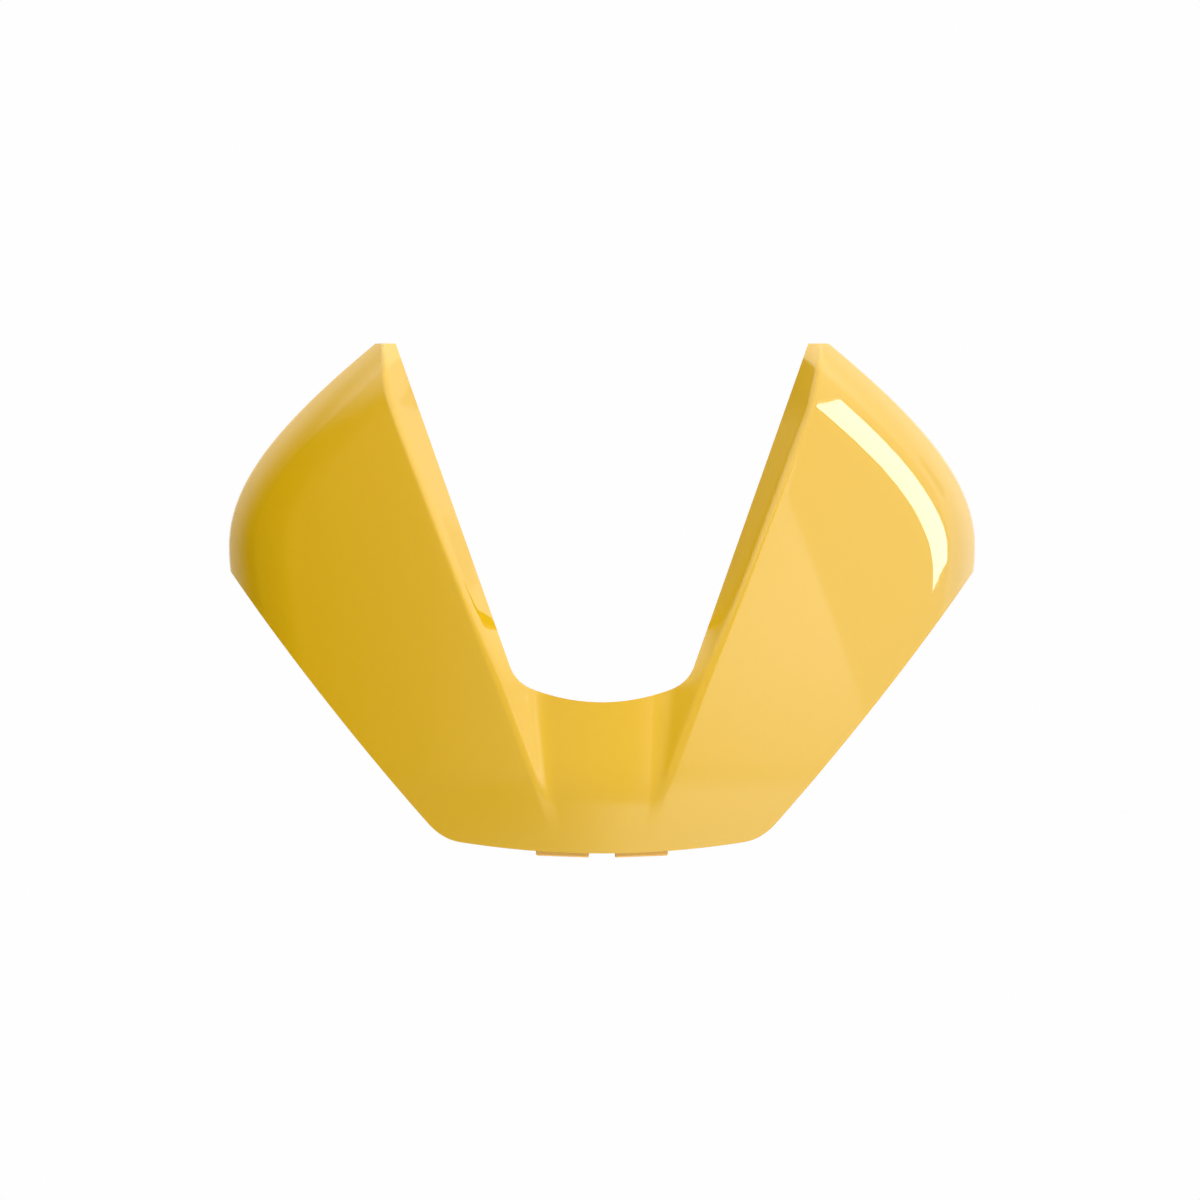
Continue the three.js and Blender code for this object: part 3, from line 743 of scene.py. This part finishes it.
def coil_spring(node):
    lower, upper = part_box(node)
    foot, top = lower.z + WIRE_RADIUS * MM, upper.z - WIRE_RADIUS * MM
    bpy.ops.object.select_all(action="DESELECT")
    bpy.ops.mesh.primitive_circle_add(vertices=WIRE_SIDES, radius=WIRE_RADIUS * MM,
                                      location=(COIL_RADIUS * MM, 0, 0), rotation=(math.radians(90), 0, 0))
    wire = bpy.context.object
    bpy.ops.object.transform_apply(location=True, rotation=True)
    wind = wire.modifiers.new("wind", "SCREW")
    wind.angle = 2 * math.pi
    wind.screw_offset = (top - foot) / COIL_TURNS
    wind.iterations = COIL_TURNS
    wind.steps = COIL_SIDES
    wind.render_steps = COIL_SIDES
    wind.use_smooth_shade = True
    finish_mesh(wire)
    bpy.ops.object.mode_set(mode="EDIT")
    bpy.ops.mesh.select_mode(type="EDGE")
    bpy.ops.mesh.select_all(action="DESELECT")
    bpy.ops.mesh.select_non_manifold()
    bpy.ops.mesh.fill_holes(sides=0)
    bpy.ops.mesh.select_all(action="SELECT")
    bpy.ops.mesh.normals_make_consistent(inside=False)
    bpy.ops.object.mode_set(mode="OBJECT")
    closed_ends = []
    for height in (0, top - foot):
        bpy.ops.mesh.primitive_torus_add(major_radius=COIL_RADIUS * MM, minor_radius=WIRE_RADIUS * MM,
                                         major_segments=COIL_SIDES, minor_segments=WIRE_SIDES)
        end = bpy.context.object
        end.data.transform(Matrix.Translation((0, 0, height)))
        finish_mesh(end)
        closed_ends.append(end)
    spring = join([wire, *closed_ends], node + "_coil")
    middle = (lower + upper) / 2
    spring.data.transform(Matrix.Translation((middle.x, middle.y, foot)))
    finish_mesh(spring)
    return spring


def spring_steel():
    """Drawn steel wire: bright, with fine die lines and a faint warm film of oil."""
    steel = Finish("spring_steel", Metallic=1.0)
    film = steel.noise(300, 2)
    steel.use("Base Color", steel.blend(film, (0.6, 0.61, 0.63, 1), (0.64, 0.63, 0.61, 1)))
    lines = steel.noise(3000, 3, (1, 1, 0.2))
    steel.use("Roughness", (lines * 0.2 + 0.2).clamped(0.22, 0.4))
    steel.relief(lines, 0.000004, 0.3)
    return steel.material


wire_finish = spring_steel()
for side in ("left", "right"):
    node = side + "_catch_spring"
    spring = coil_spring(node)
    fit(spring, "body", node, wire_finish)
    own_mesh(spring)

# Catch keeper: the flat plate that closes the catches' channels from behind. Satin dark grey plastic,
# cut with a gap for each tongue and held by four screws.


def satin_grey():
    """Dark grey sheet-moulded plastic, a touch paler and smoother than the carrier."""
    satin = Finish("satin_grey")
    cloud = satin.noise(90, 3)
    satin.use("Base Color", satin.blend(cloud, (0.055, 0.057, 0.061, 1), (0.07, 0.072, 0.077, 1)))
    grain = satin.noise(2200, 3)
    satin.use("Roughness", (grain * 0.2 + 0.34).clamped(0.36, 0.56))
    satin.relief(grain, 0.000015, 0.4)
    return satin.material


fit(moulding("catch_keeper", 0.25), "body", "catch_keeper", satin_grey())

# Screws: pan-head screws of bright zinc-plated steel with a cross recess, cold headed. Six larger ones
# hold the cover's bosses to the carrier and four smaller ones hold the keeper.

CENTRE_RADIUS = 0.05
POINT_LENGTH, POINT_SHARE = 1, 0.6
HEAD_EDGE = 0.1
HEAD_RINGS = ((1, 0.7), (0.95, 0.95), (0.86, 1.2), (0.72, 1.4))
RECESS_FLOOR, RECESS_ARM, RECESS_WIDTH = 0.75, 1.1, 0.6
KEEPER_SCREWS = ((19.8, 9), (19.8, 22))
TURRET_FLOOR = 2.3
SCREW_LIFT = 0.05


def pan_screw(name, shank, head, length):
    """A screw standing on the origin along y, its head behind."""
    stem = ((CENTRE_RADIUS, -length), (shank * POINT_SHARE, -length),
            (shank, POINT_LENGTH - length), (shank, 0))
    dome = [(head * share, height) for share, height in HEAD_RINGS]
    top = (CENTRE_RADIUS, dome[-1][1])
    body = turned(name, (*stem, (head - HEAD_EDGE, 0), (head, HEAD_EDGE), *dome, top), 40)
    arms = []
    for size in ((RECESS_ARM * 2, 2, RECESS_WIDTH), (RECESS_WIDTH, 2, RECESS_ARM * 2)):
        bpy.ops.object.select_all(action="DESELECT")
        bpy.ops.mesh.primitive_cube_add(size=MM, location=(0, (RECESS_FLOOR + 1) * MM, 0), scale=size)
        arms.append(bpy.context.object)
    for arm in arms:
        cut = body.modifiers.new("recess", "BOOLEAN")
        cut.operation = "DIFFERENCE"
        cut.object = arm
    finish_mesh(body)
    for arm in arms:
        bpy.data.objects.remove(arm)
    return body


def zinc_steel():
    """Bright zinc plating: patchy bluish sheen, small pits and driver scuffs."""
    zinc = Finish("zinc_steel", Metallic=1.0)
    bloom = zinc.noise(700, 4)
    zinc.use("Base Color", zinc.blend(bloom, (0.4, 0.42, 0.45, 1), (0.52, 0.51, 0.49, 1)))
    scuff = zinc.noise(3600, 3)
    zinc.use("Roughness", (scuff * 0.25 + 0.24).clamped(0.28, 0.5))
    zinc.relief(scuff, 0.000006, 0.4)
    return zinc.material


def set_screws(pattern, places, first_number, finish, node_name):
    for k, (x, seat, z) in enumerate(places):
        screw = bpy.data.objects.new(f"{node_name}_{first_number + k}_turned", pattern.data.copy())
        bpy.context.collection.objects.link(screw)
        place_mesh(screw, x, seat + SCREW_LIFT, z)
        fit(screw, "body", f"{node_name}_{first_number + k}", finish)
    bpy.data.objects.remove(pattern)


zinc_finish = zinc_steel()
carrier_places = [(side * x, face_y(x, z) + length + TURRET_FLOOR, z)
                  for x, z, length in BOSSES for side in (-1, 1)]
set_screws(pan_screw("carrier_screw", 1.2, 2.6, 7.5), carrier_places, 1, zinc_finish, "carrier_screw")
keeper_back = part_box("catch_keeper")[1].y / MM - SEAT.y
keeper_places = [(side * x, keeper_back, z) for x, z in KEEPER_SCREWS for side in (-1, 1)]
set_screws(pan_screw("keeper_screw", 0.9, 2.1, 7), keeper_places, 1, zinc_finish, "keeper_screw")

# Pads: three black rubber pads stuck to the keeper and to the carrier's two wing seats, where the
# assembly rests on its host. Die cut, so their outline is square and their rim only slightly rounded.


def pad_rubber():
    """Matt black rubber with a fine leathery texture and a dusting of talc."""
    rubber = Finish("pad_rubber")
    talc = rubber.noise(500, 4)
    rubber.use("Base Color", rubber.blend(talc, (0.014, 0.014, 0.015, 1), (0.03, 0.03, 0.031, 1)))
    texture = rubber.noise(1800, 4)
    rubber.use("Roughness", (texture * 0.2 + 0.72).clamped(0.74, 0.92))
    rubber.relief(texture, 0.00004, 0.5)
    return rubber.material


rubber_finish = pad_rubber()
for name in ("lower_pad", "left_wing_pad", "right_wing_pad"):
    fit(moulding(name, 0.35, 3), "body", name, rubber_finish)
